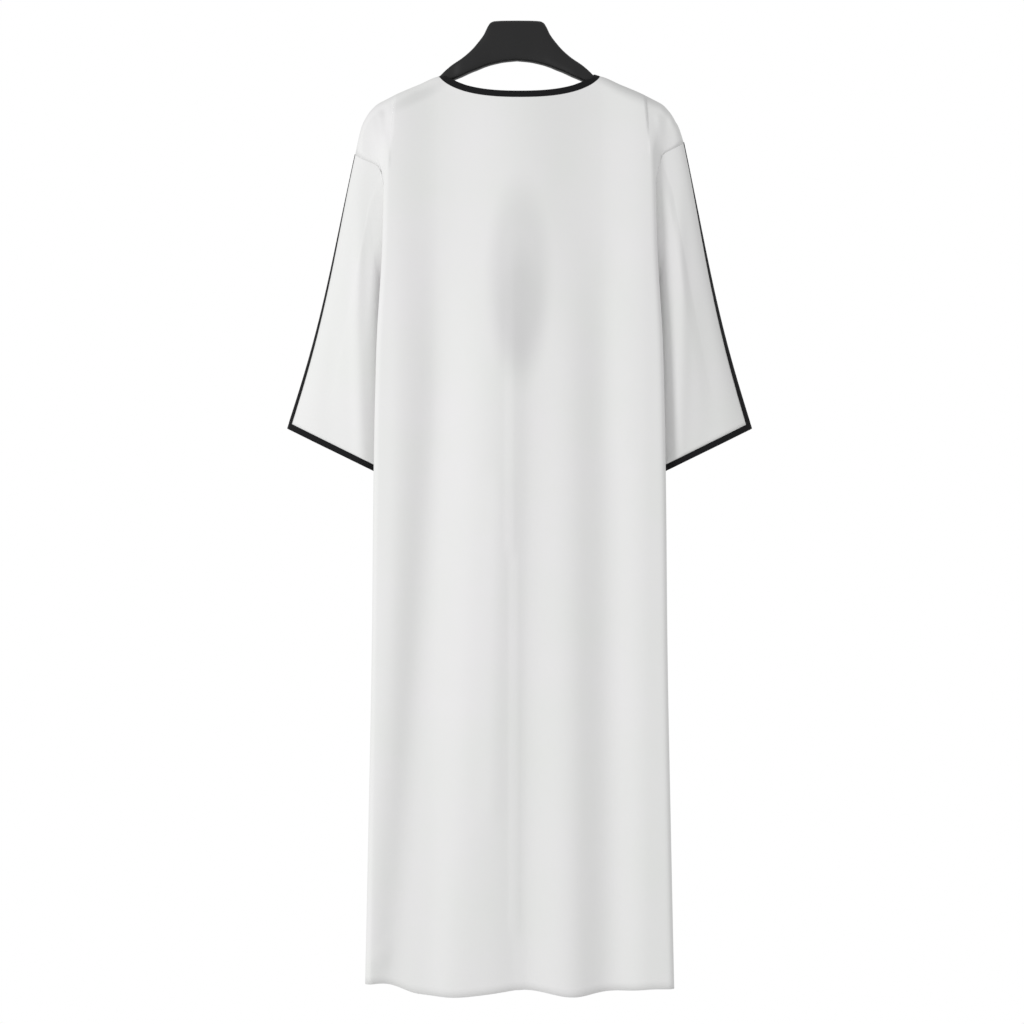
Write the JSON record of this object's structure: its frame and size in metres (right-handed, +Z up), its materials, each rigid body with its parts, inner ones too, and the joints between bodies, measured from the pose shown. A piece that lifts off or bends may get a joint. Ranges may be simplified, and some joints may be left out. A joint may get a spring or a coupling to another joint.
{
  "type": "thobe robe on a hanger",
  "caption": "Long white robe with black neck, cuff and overarm trim, hanging hollow and open on a broad suit hanger.",
  "frame": {"origin": "top of the hanger's crown, where the hook screws in and the robe is held", "axes": "+Z up, +X to the wearer's right, +Y towards the robe's front, -Y towards its back"},
  "size_m": [0.699, 0.1305, 1.4577],
  "materials": {
    "robe_cloth": "soft white woven polyester, matt with a faint sheen",
    "black_trim": "black woven binding and tape, matt",
    "hanger_plastic": "black moulded plastic, satin"
  },
  "bodies": {
    "root": {"back_panel": "robe_cloth", "front_panel": "robe_cloth", "sleeve_left": "robe_cloth", "sleeve_right": "robe_cloth", "neck_binding": "black_trim", "cuff_binding_left": "black_trim", "cuff_binding_right": "black_trim", "sleeve_tape_left": "black_trim", "sleeve_tape_right": "black_trim", "front_placket": "black_trim", "hanger": "hanger_plastic"}
  },
  "joints": []
}
